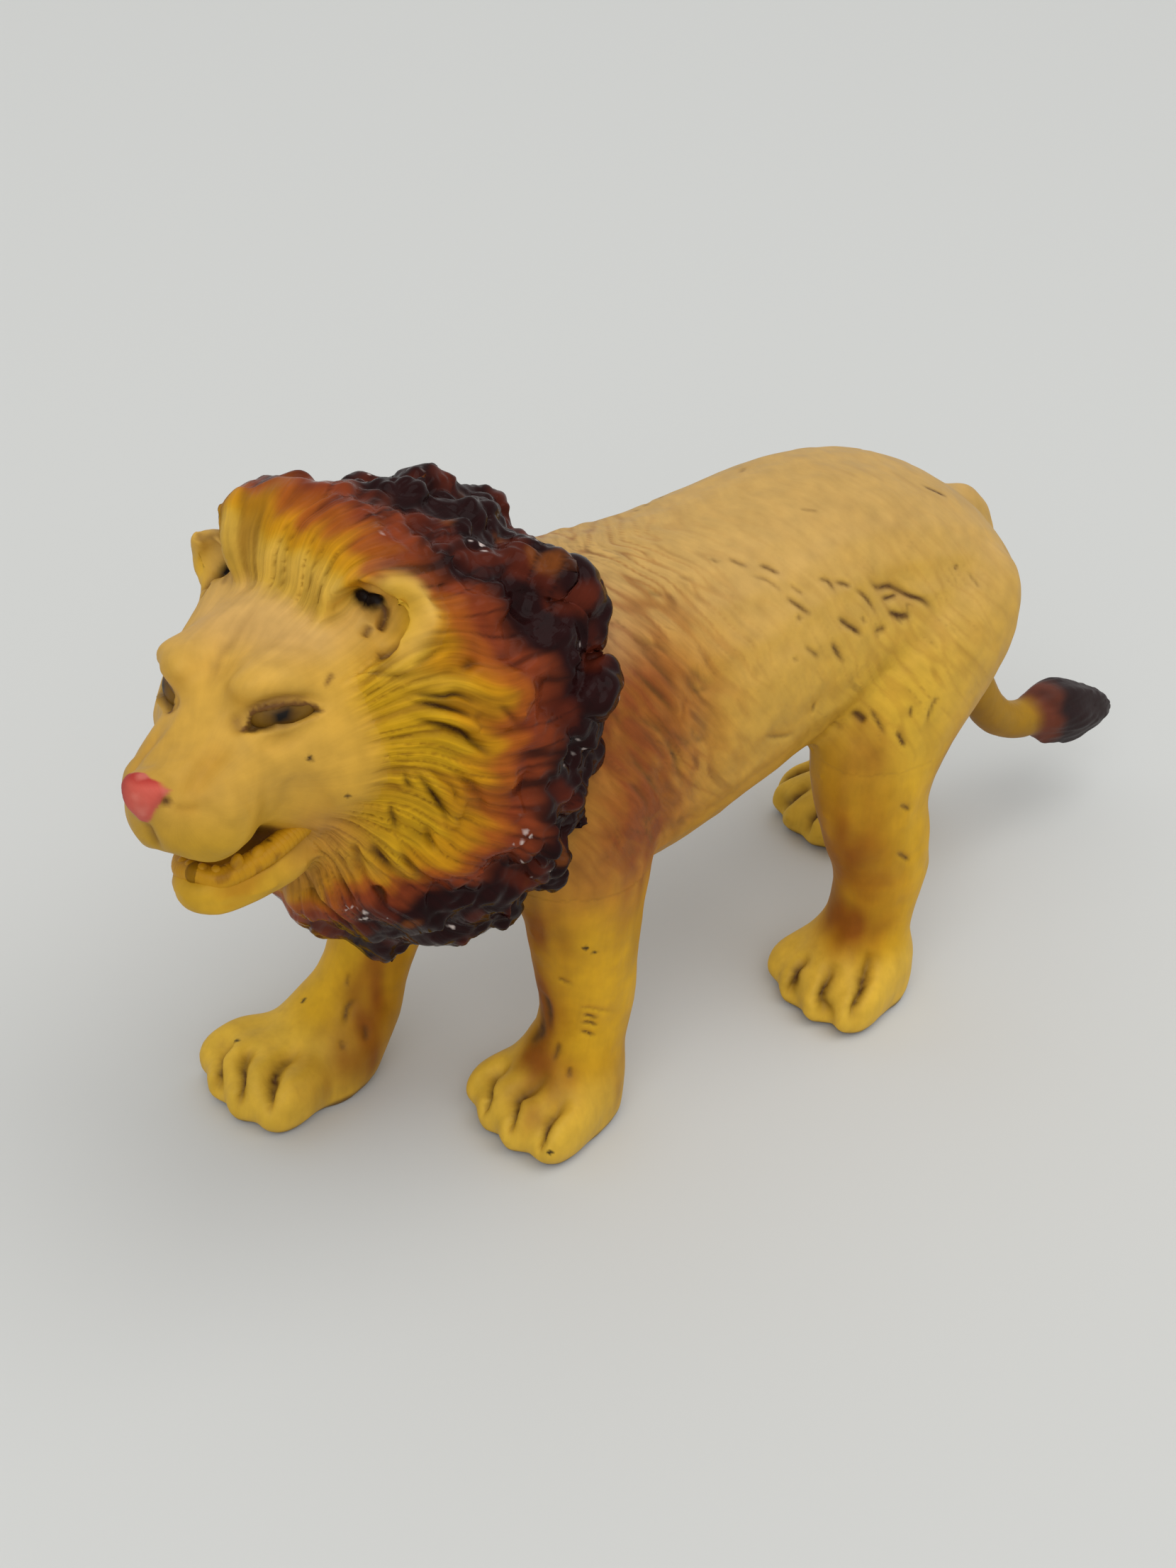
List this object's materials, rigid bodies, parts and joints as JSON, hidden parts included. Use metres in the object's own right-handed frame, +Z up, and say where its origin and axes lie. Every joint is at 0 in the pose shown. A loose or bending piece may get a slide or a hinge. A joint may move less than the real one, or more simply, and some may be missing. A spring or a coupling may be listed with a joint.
{
  "type": "toy lion figurine",
  "caption": "Walking lion toy figure with carved full mane, open jaw, toed paws with flat soles and tufted tail, moulded in hand-painted soft plastic",
  "frame": {"origin": "on the floor, under the middle of the figure's bounding box", "axes": "+Z up; the lion looks along -Y with its tail at +Y, and its left side is at +X; Y is the longest extent"},
  "size_m": [0.0478, 0.1688, 0.0872],
  "materials": {
    "body_plastic": "satin",
    "face_plastic": "satin",
    "mane_plastic": "semi-gloss"
  },
  "bodies": {
    "root": {"torso": "body_plastic", "left_foreleg": "body_plastic", "right_foreleg": "body_plastic", "left_hindleg": "body_plastic", "right_hindleg": "body_plastic", "tail": "body_plastic", "head": "face_plastic", "lower_jaw": "face_plastic", "mane": "mane_plastic"}
  },
  "joints": []
}
